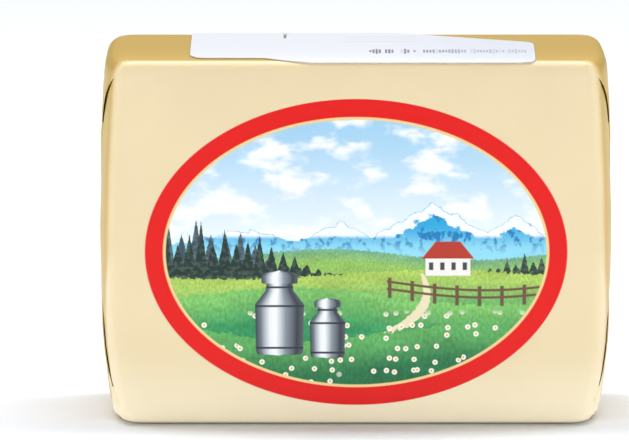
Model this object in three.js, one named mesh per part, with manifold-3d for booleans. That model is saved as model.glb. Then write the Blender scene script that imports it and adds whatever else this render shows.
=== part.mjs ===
// A wrapped block of butter, standing on one of its long narrow sides.
// One sheet of printed foil paper is folded round the butter like a tray: it lies smooth over the front,
// its corners fold into triangular ears on the two ends, and its edges close over the back.
// A paper label is stuck on the narrow side that faces up.
// Frame: millimetres, +Z up, front towards -Y, origin in the middle of the resting face.

import * as THREE from 'three';
import { LoftGeometry } from 'three/addons/geometries/LoftGeometry.js';
import { mergeVertices } from 'three/addons/utils/BufferGeometryUtils.js';
import Module from 'manifold-3d';

// Driving dimensions of the block
const WIDTH = 101;
const HEIGHT = 73;
const DEPTH = 37;

// The tray is narrower at the front, and its walls fill out towards the back
const END_TAPER = 1.9;
const TOP_TAPER = 0.8;
const FULL_AT = 14;
const FULLEST_HEIGHT = 39;
const BULGE_ABOVE = 1.1;
const BULGE_BELOW = 2.2;
const FRONT_CROWN = 0.4;
const CROWN_INSET = 18;

// Edges and corners
const FRONT_EDGE = 1.6;
const BACK_EDGE = 3;
const FRONT_CORNER = 2.6;
const BACK_CORNER = 4.4;
const LEAST_CORNER = 0.8;
const EDGE_STEPS = 5;
const CORNER_STEPS = 6;
const END_STEPS = 10;
const WALL_STEPS = 9;

// Folds: each stands above the paper that it lies on
const EAR_RISE = 0.35;
const EAR_DROP = 2.5;
const LAP_RISE = 0.3;
const LAP_EDGE = 31;
const FLAP_RISE = 0.5;
const FLAP_LENGTH = 25;
const FLAP_START = 6;
const TUCK = 0.06;
const REACH = 4;

// The label, seen from above: x to the right, y to the back
const LABEL_LEFT = -32.5;
const LABEL_RIGHT = 35;
const LABEL_BACK = 15.2;
const LABEL_RIGHT_BACK = 0.5;
const LABEL_BEND = 5;
const LABEL_FRONT_LEFT = -16.3;
const LABEL_FRONT_RIGHT = -19.8;
const LABEL_STEP = { start: -18, end: -9 };
const LABEL_OVERHANG = 2;
const LABEL_CORNER = 2.6;
const LABEL_SLIT = { x: -14, width: 0.5, length: 7 };
const LABEL_GAP = 0.15;
const LABEL_THICKNESS = 0.25;

const wasm = await Module();
wasm.setup();

// A closed geometry as a solid that can be joined and cut
function solidFrom(geometry) {
	const bare = new THREE.BufferGeometry();
	bare.setAttribute('position', geometry.getAttribute('position'));
	bare.setIndex(geometry.index);
	const merged = mergeVertices(bare);
	return new wasm.Manifold(new wasm.Mesh({
		numProp: 3,
		vertProperties: merged.getAttribute('position').array,
		triVerts: new Uint32Array(merged.index.array),
	}));
}

// A solid's surface as a geometry
function geometryFrom(solid) {
	const mesh = solid.getMesh();
	const geometry = new THREE.BufferGeometry();
	geometry.setAttribute('position', new THREE.BufferAttribute(mesh.vertProperties, 3));
	geometry.setIndex(new THREE.BufferAttribute(mesh.triVerts, 1));
	geometry.computeVertexNormals();
	return geometry;
}

// 1 at the front face, easing to 0 where the walls are full
function frontness(depth) {
	const rest = Math.max(0, 1 - depth / FULL_AT);
	return rest * rest;
}

// Depth stations of the block and how far its outline is drawn in at each, from front to back
function stations(growth) {
	const back = DEPTH - LAP_RISE - FLAP_RISE + growth;
	const list = [{ depth: 0, inset: CROWN_INSET }];
	for (let i = 0; i <= EDGE_STEPS; i++) {
		const turn = (i / EDGE_STEPS) * Math.PI / 2;
		const depth = FRONT_CROWN + FRONT_EDGE * (1 - Math.cos(turn));
		list.push({ depth, inset: FRONT_EDGE * (1 - Math.sin(turn)) });
	}
	const wallStart = FRONT_CROWN + FRONT_EDGE;
	const wallEnd = back - BACK_EDGE;
	for (let i = 1; i < WALL_STEPS; i++) {
		list.push({ depth: THREE.MathUtils.lerp(wallStart, wallEnd, i / WALL_STEPS), inset: 0 });
	}
	for (let i = 0; i <= EDGE_STEPS; i++) {
		const turn = (i / EDGE_STEPS) * Math.PI / 2;
		list.push({ depth: wallEnd + BACK_EDGE * Math.sin(turn), inset: BACK_EDGE * (1 - Math.cos(turn)) });
	}
	return list;
}

// The block's outline at one station: a rounded rectangle whose two ends bulge out near mid height
function outline({ depth, inset }, grow) {
	const front = frontness(depth);
	const halfWidth = WIDTH / 2 - EAR_RISE - END_TAPER * front - inset + grow.ends;
	const top = HEIGHT - TOP_TAPER * front - inset + grow.top;
	const bottom = inset - grow.bottom;
	const corner = THREE.MathUtils.lerp(BACK_CORNER, FRONT_CORNER, front) - inset / 2;
	const radius = Math.max(LEAST_CORNER, corner);
	const y = depth - DEPTH / 2;
	const corners = [
		{ x: -halfWidth + radius, z: bottom + radius, start: -Math.PI / 2 },
		{ x: -halfWidth + radius, z: top - radius, start: 0 },
		{ x: halfWidth - radius, z: top - radius, start: Math.PI / 2 },
		{ x: halfWidth - radius, z: bottom + radius, start: Math.PI },
	];
	const flat = [];
	corners.forEach(({ x, z, start }, index) => {
		for (let i = 0; i <= CORNER_STEPS; i++) {
			const turn = start + (i / CORNER_STEPS) * Math.PI / 2;
			flat.push({ x: x - radius * Math.cos(turn), z: z + radius * Math.sin(turn) });
		}
		const end = flat.at(-1);
		const next = corners[(index + 1) % corners.length];
		const steps = index % 2 === 0 ? END_STEPS : 1;
		for (let i = 1; i < steps; i++) {
			flat.push({ x: end.x, z: THREE.MathUtils.lerp(end.z, next.z, i / steps) });
		}
	});
	return flat.map(({ x, z }) => {
		const drawnIn = z > FULLEST_HEIGHT
			? BULGE_ABOVE * ((z - FULLEST_HEIGHT) / (HEIGHT - FULLEST_HEIGHT)) ** 2
			: BULGE_BELOW * ((FULLEST_HEIGHT - z) / FULLEST_HEIGHT) ** 2;
		return new THREE.Vector3(x * (1 - drawnIn / (WIDTH / 2)), y - grow.front, z);
	});
}

// The block with some of its faces moved out, or in where the growth is negative
function block({ ends = 0, top = 0, bottom = 0, front = 0, back = 0 }) {
	const sections = stations(front + back).map((station) => outline(station, { ends, top, bottom, front }));
	return solidFrom(new LoftGeometry(sections, { capStart: true, capEnd: true }));
}

// A straight prism of a plane outline, placed so that it reaches past the block both ways
function prism(points, length, place) {
	const shape = new THREE.Shape(points.map(([u, v]) => new THREE.Vector2(u, v)));
	const geometry = new THREE.ExtrudeGeometry(shape, { depth: length, bevelEnabled: false });
	geometry.translate(0, 0, -length / 2);
	place(geometry);
	return solidFrom(geometry);
}

// Outline in (y, z), running along X
const alongX = (geometry) => geometry.rotateY(Math.PI / 2).rotateX(Math.PI / 2);
// Outline in (x, z), running along Y
const alongY = (geometry) => geometry.rotateX(Math.PI / 2);

// The two ears of each end: the paper of a narrow side turned round the corner, edged by a diagonal fold
function ears() {
	const skin = block({ ends: EAR_RISE, top: -TUCK, bottom: -TUCK, front: -TUCK, back: -TUCK });
	const nose = -DEPTH / 2 - REACH;
	const heel = DEPTH / 2 + REACH;
	const start = HEIGHT - EAR_DROP + REACH;
	const upper = [[nose, start], [heel, start - (heel - nose)], [heel, HEIGHT + REACH], [nose, HEIGHT + REACH]];
	const lower = upper.map(([y, z]) => [y, HEIGHT - z]).reverse();
	return [upper, lower].map((points) => skin.intersect(prism(points, WIDTH + 2 * REACH, alongX)));
}

// The closing folds on the back: a long lap, and over it a tapered flap from each end
function backFolds() {
	const inward = { ends: -TUCK, top: -TUCK, bottom: -TUCK, front: -TUCK };
	const lapSkin = block({ ...inward, back: LAP_RISE });
	const flapSkin = block({ ...inward, back: LAP_RISE + FLAP_RISE });
	const half = WIDTH / 2 + REACH;
	const lap = [[-half, LAP_EDGE], [half, LAP_EDGE], [half, HEIGHT + REACH], [-half, HEIGHT + REACH]];
	const root = FLAP_START - REACH;
	const tip = FLAP_START + FLAP_LENGTH;
	const inner = WIDTH / 2 - FLAP_LENGTH;
	const flap = [[half, root], [half, HEIGHT - root], [inner, HEIGHT - tip], [inner, tip]];
	const mirrored = flap.map(([x, z]) => [-x, z]).reverse();
	const behind = (points) => prism(points, BACK_EDGE, (geometry) => {
		alongY(geometry).translate(0, (DEPTH - BACK_EDGE) / 2 + TUCK, 0);
	});
	return [
		lapSkin.intersect(behind(lap)),
		flapSkin.intersect(behind(flap)),
		flapSkin.intersect(behind(mirrored)),
	];
}

// The wrapped block in one piece, with its folds in relief
function wrappedBlock() {
	return [...ears(), ...backFolds()].reduce((whole, fold) => whole.add(fold), block({}));
}

// The label's outline from above, with rounded corners, as points
function labelOutline() {
	const corners = [
		[LABEL_LEFT, LABEL_FRONT_LEFT],
		[LABEL_STEP.start, LABEL_FRONT_LEFT],
		[LABEL_STEP.end, LABEL_FRONT_RIGHT],
		[LABEL_RIGHT, LABEL_FRONT_RIGHT],
		[LABEL_RIGHT, LABEL_RIGHT_BACK],
		[LABEL_BEND, LABEL_BACK],
		[LABEL_LEFT, LABEL_BACK],
	].map(([x, y]) => new THREE.Vector2(x, y));
	const shape = new THREE.Shape();
	corners.forEach((corner, i) => {
		const before = corners.at(i - 1).clone().sub(corner).setLength(LABEL_CORNER).add(corner);
		const after = corners[(i + 1) % corners.length].clone().sub(corner).setLength(LABEL_CORNER).add(corner);
		if (i === 0) shape.moveTo(before.x, before.y);
		else shape.lineTo(before.x, before.y);
		shape.quadraticCurveTo(corner.x, corner.y, after.x, after.y);
	});
	return shape.getPoints(CORNER_STEPS).map(({ x, y }) => [x, y]);
}

// The paper label: a thin sheet over the top, its right part turned down over the front edge
function label() {
	const outer = LABEL_GAP + LABEL_THICKNESS;
	const sheet = block({ top: outer, front: outer }).subtract(block({ top: LABEL_GAP, front: LABEL_GAP }));
	const depth = LABEL_OVERHANG + REACH;
	const middle = HEIGHT - LABEL_OVERHANG + depth / 2;
	const cut = prism(labelOutline(), depth, (geometry) => geometry.translate(0, 0, middle));
	const slit = new THREE.BoxGeometry(LABEL_SLIT.width, 2 * LABEL_SLIT.length, 2 * REACH);
	slit.translate(LABEL_SLIT.x, LABEL_BACK, HEIGHT);
	return sheet.intersect(cut).subtract(solidFrom(slit));
}

function piece(name, solid, look) {
	const mesh = new THREE.Mesh(geometryFrom(solid), new THREE.MeshStandardMaterial(look));
	mesh.name = name;
	return mesh;
}

const pack = new THREE.Group();
pack.add(piece('wrapped_block', wrappedBlock(), { color: 0xf3e3bd, roughness: 0.42, metalness: 0.1 }));
pack.add(piece('side_label', label(), { color: 0xf3f6fa, roughness: 0.5, metalness: 0 }));

export default pack;
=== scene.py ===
"""A wrapped block of butter: printed foil paper folded round the butter, and a paper label on its top side.

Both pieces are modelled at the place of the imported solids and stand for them.
Sizes are written in millimetres, seen from the printed front: x to the right, y to the back, z up.
"""

import logging
import math
from collections.abc import Callable, Sequence
from dataclasses import dataclass
from enum import Enum

import bmesh
import bpy
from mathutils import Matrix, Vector


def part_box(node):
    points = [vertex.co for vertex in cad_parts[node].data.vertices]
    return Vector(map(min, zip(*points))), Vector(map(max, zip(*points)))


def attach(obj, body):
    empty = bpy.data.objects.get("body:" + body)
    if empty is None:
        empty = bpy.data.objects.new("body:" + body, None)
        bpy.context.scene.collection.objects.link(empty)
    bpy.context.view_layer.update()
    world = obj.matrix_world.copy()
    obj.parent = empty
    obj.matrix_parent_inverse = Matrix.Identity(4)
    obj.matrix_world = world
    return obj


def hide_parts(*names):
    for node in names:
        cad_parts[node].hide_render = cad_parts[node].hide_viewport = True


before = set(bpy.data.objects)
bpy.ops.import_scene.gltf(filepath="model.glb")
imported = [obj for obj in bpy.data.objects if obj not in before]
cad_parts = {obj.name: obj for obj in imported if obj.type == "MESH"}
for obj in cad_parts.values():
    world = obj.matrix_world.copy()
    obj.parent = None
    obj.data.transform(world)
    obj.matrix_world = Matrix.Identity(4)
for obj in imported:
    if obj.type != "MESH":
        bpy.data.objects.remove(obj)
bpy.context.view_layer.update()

LOG = logging.getLogger("butter")
MM = 0.001
TOUCH = 0.02
CUT_THRESHOLD = 1e-6
PHOTO_WIDTH = 629
PRINT_SOFTNESS = 0.1
FIBRE_HEIGHT = 0.05
INNER = "inner"

Colour = tuple[float, float, float, float]
Point = tuple[float, float, float]
Span = tuple[float, float]
Element = bmesh.types.BMVert | bmesh.types.BMEdge | bmesh.types.BMFace


def paint(red: int, green: int, blue: int) -> Colour:
    """A colour as it looks on screen, from 0 to 255, turned into light.

    Args:
        red: share of red.
        green: share of green.
        blue: share of blue.

    Returns:
        The colour that a shader's socket takes.
    """
    shares = [value / 255 for value in (red, green, blue)]
    light = [((s + 0.055) / 1.055) ** 2.4 if s > 0.04045 else s / 12.92 for s in shares]
    return (*light, 1.0)


def metres(point: Sequence[float]) -> Vector:
    """A point in millimetres as a vector in metres."""
    return Vector(point) * MM


def ease(value: float, low: float, high: float) -> float:
    """A smooth step from 0 at low to 1 at high.

    Args:
        value: where on the step.
        low: where the step starts.
        high: where the step ends.

    Returns:
        The height of the step, from 0 to 1.
    """
    share = min(1.0, max(0.0, (value - low) / (high - low)))
    return share * share * (3 - 2 * share)


class Part(Enum):
    """What a selection in edit mode is made of."""

    VERTS = "VERT"
    EDGES = "EDGE"
    FACES = "FACE"


class Side(Enum):
    """A side of the block that a fold lies on, as its outward direction."""

    LEFT = (-1, 0, 0)
    RIGHT = (1, 0, 0)
    BACK = (0, 1, 0)

    @property
    def axis(self) -> int:
        """Which of x, y and z the side faces along."""
        return [abs(part) for part in self.value].index(1)

    @property
    def sign(self) -> int:
        """Which way along that axis the side faces."""
        return self.value[self.axis]

    def holds(self, place: Vector) -> bool:
        """Whether a place is on this side of the block's middle."""
        return place[self.axis] * self.sign > 0

    def faced(self, normal: Vector) -> float:
        """How squarely a normal faces the way of this side, from 0 to 1."""
        return max(0.0, normal.dot(Vector(self.value)))


class Workpiece:
    """A mesh under the hand, shaped by operators and modifiers."""

    def __init__(self, name: str) -> None:
        """Takes over the primitive that was just added.

        Args:
            name: the piece's name.
        """
        self.obj = bpy.context.object
        self.obj.name = name
        self.obj.data.name = name

    @classmethod
    def cube(cls, name: str, low: Point, high: Point) -> "Workpiece":
        """A box between two corners.

        Args:
            name: the piece's name.
            low: lowest corner.
            high: highest corner.

        Returns:
            The new workpiece, with its place in its mesh.
        """
        bpy.ops.object.select_all(action="DESELECT")
        bpy.ops.mesh.primitive_cube_add(size=1, location=(metres(low) + metres(high)) / 2)
        return cls._sized(name, metres(high) - metres(low))

    @classmethod
    def plane(cls, name: str, low: Point, high: Point) -> "Workpiece":
        """A level rectangle between two corners.

        Args:
            name: the piece's name.
            low: its near left corner.
            high: its far right corner, at the same height.

        Returns:
            The new workpiece, with its place in its mesh.
        """
        bpy.ops.object.select_all(action="DESELECT")
        bpy.ops.mesh.primitive_plane_add(size=1, location=(metres(low) + metres(high)) / 2)
        return cls._sized(name, metres(high) - metres(low))

    @classmethod
    def _sized(cls, name: str, size: Vector) -> "Workpiece":
        """Stretches the new primitive to its size and puts that in its mesh.

        Args:
            name: the piece's name.
            size: length along x, y and z; 0 leaves a direction as it is.

        Returns:
            The new workpiece.
        """
        bpy.context.object.scale = [length or 1 for length in size]
        bpy.ops.object.transform_apply(location=True, rotation=True, scale=True)
        return cls(name)

    def edit(self, on: bool) -> None:
        """Goes into edit mode or leaves it."""
        bpy.context.view_layer.objects.active = self.obj
        bpy.ops.object.mode_set(mode="EDIT" if on else "OBJECT")

    def select(self, part: Part, test: Callable[[Element], bool]) -> None:
        """Selects in edit mode what passes a test, and nothing else.

        Args:
            part: what to select.
            test: says whether one vertex, edge or face is taken.
        """
        bpy.ops.mesh.select_mode(type=part.value)
        bpy.ops.mesh.select_all(action="DESELECT")
        mesh = bmesh.from_edit_mesh(self.obj.data)
        for element in getattr(mesh, part.name.lower()):
            if test(element):
                element.select_set(True)
        mesh.select_flush_mode()
        bmesh.update_edit_mesh(self.obj.data)

    def cut(self, point: Vector, normal: Vector, test: Callable[[bmesh.types.BMFace], bool]) -> None:
        """Cuts faces along a plane.

        Args:
            point: a point on the plane, in metres.
            normal: the plane's normal.
            test: says which faces are cut.
        """
        self.select(Part.FACES, test)
        bpy.ops.mesh.bisect(plane_co=point, plane_no=normal, threshold=CUT_THRESHOLD)

    def rule(self, axis: int, places: Sequence[float]) -> None:
        """Cuts the whole mesh square to an axis.

        Args:
            axis: 0, 1 or 2 for x, y or z.
            places: where the cuts are, in millimetres.
        """
        normal = Vector([float(i == axis) for i in range(3)])
        for place in places:
            self.cut(normal * place * MM, normal, lambda face: True)

    def bevel(self, radius: float, segments: int, test: Callable[[bmesh.types.BMEdge], bool]) -> None:
        """Rounds edges.

        Args:
            radius: in millimetres.
            segments: faces across the round.
            test: says which edges are rounded.
        """
        self.select(Part.EDGES, test)
        bpy.ops.mesh.bevel(offset=radius * MM, segments=segments, affect="EDGES")

    def mark(self, name: str) -> None:
        """Sets an attribute to 1 on the vertices selected in edit mode."""
        mesh = bmesh.from_edit_mesh(self.obj.data)
        layer = mesh.verts.layers.float.get(name) or mesh.verts.layers.float.new(name)
        for vert in mesh.verts:
            if vert.select:
                vert[layer] = 1.0
        bmesh.update_edit_mesh(self.obj.data)

    def weigh(self, name: str, rule: Callable[[Vector, Vector], float]) -> str:
        """Gives every vertex a weight by its place and normal.

        Args:
            name: the vertex group's name.
            rule: takes place in millimetres and normal, gives a weight from 0 to 1.

        Returns:
            The group's name.
        """
        group = self.obj.vertex_groups.new(name=name)
        for vertex in self.obj.data.vertices:
            weight = rule(vertex.co / MM, vertex.normal)
            if weight > 0:
                group.add([vertex.index], weight, "REPLACE")
        return group.name

    def modify(self, kind: str, **settings: object) -> None:
        """Adds a modifier and applies it.

        Args:
            kind: the modifier's type.
            **settings: its settings by name.
        """
        bpy.context.view_layer.objects.active = self.obj
        modifier = self.obj.modifiers.new(kind.lower(), kind)
        for name, value in settings.items():
            setattr(modifier, name, value)
        bpy.ops.object.modifier_apply(modifier=modifier.name)

    def crumple(self, kind: str, size: float, depth: float, group: str, **settings: object) -> None:
        """Pushes the surface in and out by a cloudy pattern.

        Args:
            kind: the pattern's type.
            size: of its features, in millimetres.
            depth: from its lowest to its highest point, in millimetres.
            group: the vertex group that says where.
            **settings: more settings of the pattern.
        """
        pattern = bpy.data.textures.new(f"{group}_{kind.lower()}", kind)
        pattern.noise_scale = size * MM
        for name, value in settings.items():
            setattr(pattern, name, value)
        self.modify("DISPLACE", texture=pattern, texture_coords="LOCAL", strength=depth * MM,
                    mid_level=0.5, vertex_group=group)

    def finish(self, crisp: float) -> bpy.types.Object:
        """Shades the piece and hands it over.

        Args:
            crisp: edges sharper than this many degrees stay crisp.

        Returns:
            The finished object.
        """
        self.obj.vertex_groups.clear()
        bpy.ops.object.select_all(action="DESELECT")
        self.obj.select_set(True)
        bpy.context.view_layer.objects.active = self.obj
        bpy.ops.object.shade_smooth_by_angle(angle=math.radians(crisp))
        return self.obj


@dataclass(frozen=True)
class Wire:
    """A value, colour or vector on its way through a material's nodes."""

    bench: "Bench"
    socket: bpy.types.NodeSocket

    def _math(self, operation: str, *values: "Wire | float") -> "Wire":
        """One Math node on these values."""
        return self.bench.node("ShaderNodeMath", {"operation": operation}, dict(enumerate(values)))

    def __add__(self, other: "Wire | float") -> "Wire":
        """Sum."""
        return self._math("ADD", self, other)

    def __radd__(self, other: float) -> "Wire":
        """Sum with a number in front."""
        return self._math("ADD", other, self)

    def __sub__(self, other: "Wire | float") -> "Wire":
        """Difference."""
        return self._math("SUBTRACT", self, other)

    def __rsub__(self, other: float) -> "Wire":
        """Difference from a number in front."""
        return self._math("SUBTRACT", other, self)

    def __mul__(self, other: "Wire | float") -> "Wire":
        """Product."""
        return self._math("MULTIPLY", self, other)

    def __rmul__(self, other: float) -> "Wire":
        """Product with a number in front."""
        return self._math("MULTIPLY", other, self)

    def __truediv__(self, other: "Wire | float") -> "Wire":
        """Quotient."""
        return self._math("DIVIDE", self, other)

    def __rtruediv__(self, other: float) -> "Wire":
        """Quotient of a number in front."""
        return self._math("DIVIDE", other, self)

    def __abs__(self) -> "Wire":
        """The value without its sign."""
        return self._math("ABSOLUTE", self)

    def __pow__(self, power: float) -> "Wire":
        """The value raised to a power."""
        return self._math("POWER", self, power)

    def at_least(self, other: "Wire | float") -> "Wire":
        """The larger of two values."""
        return self._math("MAXIMUM", self, other)

    def at_most(self, other: "Wire | float") -> "Wire":
        """The smaller of two values."""
        return self._math("MINIMUM", self, other)

    def floor(self) -> "Wire":
        """The whole number below."""
        return self._math("FLOOR", self)

    def sine(self) -> "Wire":
        """The sine of the value in radians."""
        return self._math("SINE", self)

    def root(self) -> "Wire":
        """The square root."""
        return self._math("SQRT", self)

    def step(self, low: float, high: float) -> "Wire":
        """A smooth step from 0 at low to 1 at high, either way round.

        Args:
            low: value that gives 0.
            high: value that gives 1.

        Returns:
            The step's height.
        """
        if low > high:
            return 1 - self.step(high, low)
        inputs = {"Value": self, "From Min": low, "From Max": high}
        return self.bench.node("ShaderNodeMapRange", {"interpolation_type": "SMOOTHSTEP"}, inputs)

    def soft(self) -> "Wire":
        """A printed edge at 0: from 0 just below it to 1 just above it."""
        return self.step(-PRINT_SOFTNESS, PRINT_SOFTNESS)


class Bench:
    """A material's nodes, with short ways to add to them."""

    def __init__(self, name: str) -> None:
        """Starts a material with no nodes.

        Args:
            name: the material's name.
        """
        self.material = bpy.data.materials.new(name)
        self.material.use_nodes = True
        self.nodes = self.material.node_tree.nodes
        self.links = self.material.node_tree.links
        self.nodes.clear()

    def node(self, kind: str, settings: dict[str, object], inputs: dict[int | str, object],
             output: int | str = 0) -> Wire:
        """Adds one node.

        Args:
            kind: the node's type.
            settings: its settings by name; "stops" gives a ramp's places and colours.
            inputs: values or wires by socket number, name or identifier.
            output: number or name of the socket that goes on.

        Returns:
            The wire from that socket.
        """
        node = self.nodes.new(kind)
        for name, value in settings.items():
            if name == "stops":
                self._set_stops(node.color_ramp, value)
            else:
                setattr(node, name, value)
        for key, value in inputs.items():
            socket = self._socket(node.inputs, key)
            if isinstance(value, Wire):
                self.links.new(value.socket, socket)
            else:
                socket.default_value = value
        return Wire(self, self._socket(node.outputs, output))

    @staticmethod
    def _socket(sockets: Sequence[bpy.types.NodeSocket], key: int | str) -> bpy.types.NodeSocket:
        """A socket by number, identifier or name."""
        if isinstance(key, int):
            return sockets[key]
        return next(s for s in sockets if key in (s.identifier, s.name))

    @staticmethod
    def _set_stops(ramp: bpy.types.ColorRamp, stops: Sequence[tuple[float, Colour]]) -> None:
        """Puts a ramp's stops at their places with their colours."""
        while len(ramp.elements) < len(stops):
            ramp.elements.new(1.0)
        for element, (place, colour) in zip(ramp.elements, stops):
            element.position = place
            element.color = colour

    def place(self) -> tuple[Wire, Wire, Wire]:
        """Where on the piece, as x, y and z in millimetres."""
        where = self.node("ShaderNodeTexCoord", {}, {}, "Object")
        parts = self.node("ShaderNodeSeparateXYZ", {}, {"Vector": where})
        sockets = parts.socket.node.outputs
        return tuple(Wire(self, sockets[i]) / MM for i in range(3))

    def spot(self, x: Wire | float, y: Wire | float, z: Wire | float = 0.0) -> Wire:
        """A vector from three values."""
        return self.node("ShaderNodeCombineXYZ", {}, {0: x, 1: y, 2: z})

    def noise(self, where: Wire, size: float, detail: float = 2.0) -> Wire:
        """Cloudy noise from 0 to 1.

        Args:
            where: the place in millimetres.
            size: of its features, in millimetres.
            detail: how many finer layers it has.

        Returns:
            The noise.
        """
        return self.node("ShaderNodeTexNoise", {}, {"Vector": where, "Scale": 1 / size, "Detail": detail})

    def chance(self, number: Wire) -> Wire:
        """A random value from 0 to 1 for each whole number."""
        return self.node("ShaderNodeTexWhiteNoise", {"noise_dimensions": "1D"}, {"W": number})

    def mix(self, mask: Wire | float, under: Wire | Colour, over: Wire | Colour) -> Wire:
        """Lays one colour over another.

        Args:
            mask: 1 where the upper colour covers.
            under: the lower colour.
            over: the upper colour.

        Returns:
            The colour that shows.
        """
        inputs = {"Factor_Float": mask, "A_Color": under, "B_Color": over}
        return self.node("ShaderNodeMix", {"data_type": "RGBA"}, inputs, "Result_Color")

    def shade(self, colour: Wire, value: Wire) -> Wire:
        """Makes a colour lighter or darker by a value around 1."""
        inputs = {0: colour, "Scale": value}
        return self.node("ShaderNodeVectorMath", {"operation": "SCALE"}, inputs)

    def bump(self, height: Wire, strength: float) -> Wire:
        """A normal tilted by fine paper fibres.

        Args:
            height: of the fibres, from 0 to 1.
            strength: how much of it shows.

        Returns:
            The normal.
        """
        inputs = {"Height": height, "Strength": strength, "Distance": FIBRE_HEIGHT * MM}
        return self.node("ShaderNodeBump", {}, inputs, "Normal")

    def surface(self, **inputs: object) -> bpy.types.Material:
        """Ends the nodes in a surface.

        Args:
            **inputs: values or wires of the surface's sockets, with _ for a space.

        Returns:
            The finished material.
        """
        named = {name.replace("_", " "): value for name, value in inputs.items()}
        shader = self.node("ShaderNodeBsdfPrincipled", {}, named)
        output = self.nodes.new("ShaderNodeOutputMaterial")
        self.links.new(shader.socket, output.inputs["Surface"])
        return self.material


class Canvas:
    """Colour painted by place: u to the right and v up, both in millimetres."""

    def __init__(self, bench: Bench, u: Wire, v: Wire, ground: Colour) -> None:
        """Starts with one colour all over.

        Args:
            bench: the material's nodes.
            u: place to the right.
            v: place upwards.
            ground: the first colour.
        """
        self.bench = bench
        self.u = u
        self.v = v
        self.colour: Wire | Colour = ground

    def lay(self, mask: Wire, colour: Wire | Colour) -> None:
        """Paints over what is there where the mask is 1."""
        self.colour = self.bench.mix(mask, self.colour, colour)

    def fill(self, depth: Wire, colour: Wire | Colour) -> None:
        """Paints where a depth below an edge is above 0, with a soft edge."""
        self.lay(depth.soft(), colour)

    def grain(self, size: float, wide: float = 1.0, detail: float = 2.0) -> Wire:
        """Cloudy noise from 0 to 1.

        Args:
            size: height of its features, in millimetres.
            wide: how many times wider than high they are.
            detail: how many finer layers it has.

        Returns:
            The noise.
        """
        return self.bench.noise(self.bench.spot(self.u / wide, self.v), size, detail)

    def ragged(self, size: float, reach: float, wide: float = 1.0, detail: float = 2.0) -> Wire:
        """Noise around 0, to roughen an outline with.

        Args:
            size: height of its features, in millimetres.
            reach: from its lowest to its highest value, in millimetres.
            wide: how many times wider than high the features are.
            detail: how many finer layers it has.

        Returns:
            The noise.
        """
        return (self.grain(size, wide, detail) - 0.5) * reach


@dataclass(frozen=True)
class Sky:
    """Pale sky, bluer upwards, with loose clouds."""

    low: Colour = paint(238, 247, 251)
    high: Colour = paint(164, 211, 239)
    cloud: Colour = paint(253, 254, 255)
    top: float = 27
    cloud_size: float = 5.5
    cloud_wide: float = 1.9
    cloud_detail: float = 5
    cloud_rim: Span = (0.47, 0.62)

    def draw(self, canvas: Canvas) -> None:
        """Paints the sky and its clouds.

        Args:
            canvas: the picture in the oval.
        """
        canvas.lay(canvas.v.step(0, self.top), self.high)
        puffs = canvas.grain(self.cloud_size, self.cloud_wide, self.cloud_detail)
        canvas.lay(puffs.step(*self.cloud_rim), self.cloud)


@dataclass(frozen=True)
class Peaks:
    """Snowy peaks in the distance, each with its place, half width and height."""

    peaks: tuple[Point, ...] = ((15, 16, 9.5), (-3, 12, 5.5), (31, 10, 7), (-22, 18, 4))
    foot: float = 0.5
    crag_size: float = 2.4
    crag_height: float = 3
    crag_detail: float = 4
    haze_span: Span = (-1, 6)
    mist_span: Span = (3, -1)
    cleft_size: float = 2.2
    cleft_wide: float = 0.7
    cleft_detail: float = 3
    cleft_rim: Span = (0.5, 0.6)
    snow_depth: float = 2.8
    snow_fade: float = 0.6
    snow_ragged: float = 1.4
    snow_line: Span = (2.6, 3.6)
    outline: float = 0.2
    haze: Colour = paint(150, 222, 243)
    rock: Colour = paint(44, 170, 222)
    shade: Colour = paint(30, 128, 190)
    snow: Colour = paint(247, 251, 254)

    def draw(self, canvas: Canvas) -> None:
        """Paints the peaks from their outline down.

        Args:
            canvas: the picture in the oval.
        """
        crags = canvas.ragged(self.crag_size, self.crag_height, detail=self.crag_detail)
        ridge = crags * 0
        for place, half, rise in self.peaks:
            ridge = ridge.at_least((1 - abs(canvas.u - place) / half) * rise)
        depth = ridge + crags + self.foot - canvas.v
        slope = canvas.bench.mix(canvas.v.step(*self.haze_span), self.haze, self.rock)
        clefts = canvas.grain(self.cleft_size, self.cleft_wide, self.cleft_detail).step(*self.cleft_rim)
        slope = canvas.bench.mix(clefts, slope, self.shade)
        canvas.fill(depth, canvas.bench.mix(canvas.v.step(*self.mist_span), slope, self.haze))
        snow = (depth + crags * self.snow_ragged).step(self.snow_depth, self.snow_depth - self.snow_fade)
        snow = snow * depth.step(0, self.outline)
        canvas.lay(snow * canvas.v.step(*self.snow_line), self.snow)


@dataclass(frozen=True)
class Hill:
    """A grassy hill: a waved outline, lighter at its crest than below."""

    base: float
    rise: float
    length: float
    phase: float
    crest: Colour
    foot: Colour
    fade: float
    blade: float
    blade_wide: float = 0.8
    grass_detail: float = 3
    patch_blades: float = 4
    patch_wide: float = 2.6
    patch_tone: Span = (0.62, 0.76)
    tuft_wide: float = 0.55
    tuft_tone: float = 0.5

    def line(self, canvas: Canvas) -> Wire:
        """The height of the hill's outline."""
        return self.base + self.rise * (canvas.u / self.length + self.phase).sine()

    def draw(self, canvas: Canvas) -> None:
        """Paints the hill from its outline down, with patches and tufts of grass.

        Args:
            canvas: the picture in the oval.
        """
        ragged = canvas.ragged(self.blade, 2 * self.blade, self.blade_wide)
        depth = self.line(canvas) + ragged - canvas.v
        grass = canvas.bench.mix(depth.step(0, self.fade), self.crest, self.foot)
        darkest, range_up = self.patch_tone
        patches = canvas.grain(self.patch_blades * self.blade, self.patch_wide, self.grass_detail)
        grass = canvas.bench.shade(grass, darkest + range_up * patches)
        tufts = canvas.grain(self.blade, self.tuft_wide, self.grass_detail)
        grass = canvas.bench.shade(grass, self.tuft_tone + tufts)
        canvas.fill(depth, grass)


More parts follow.
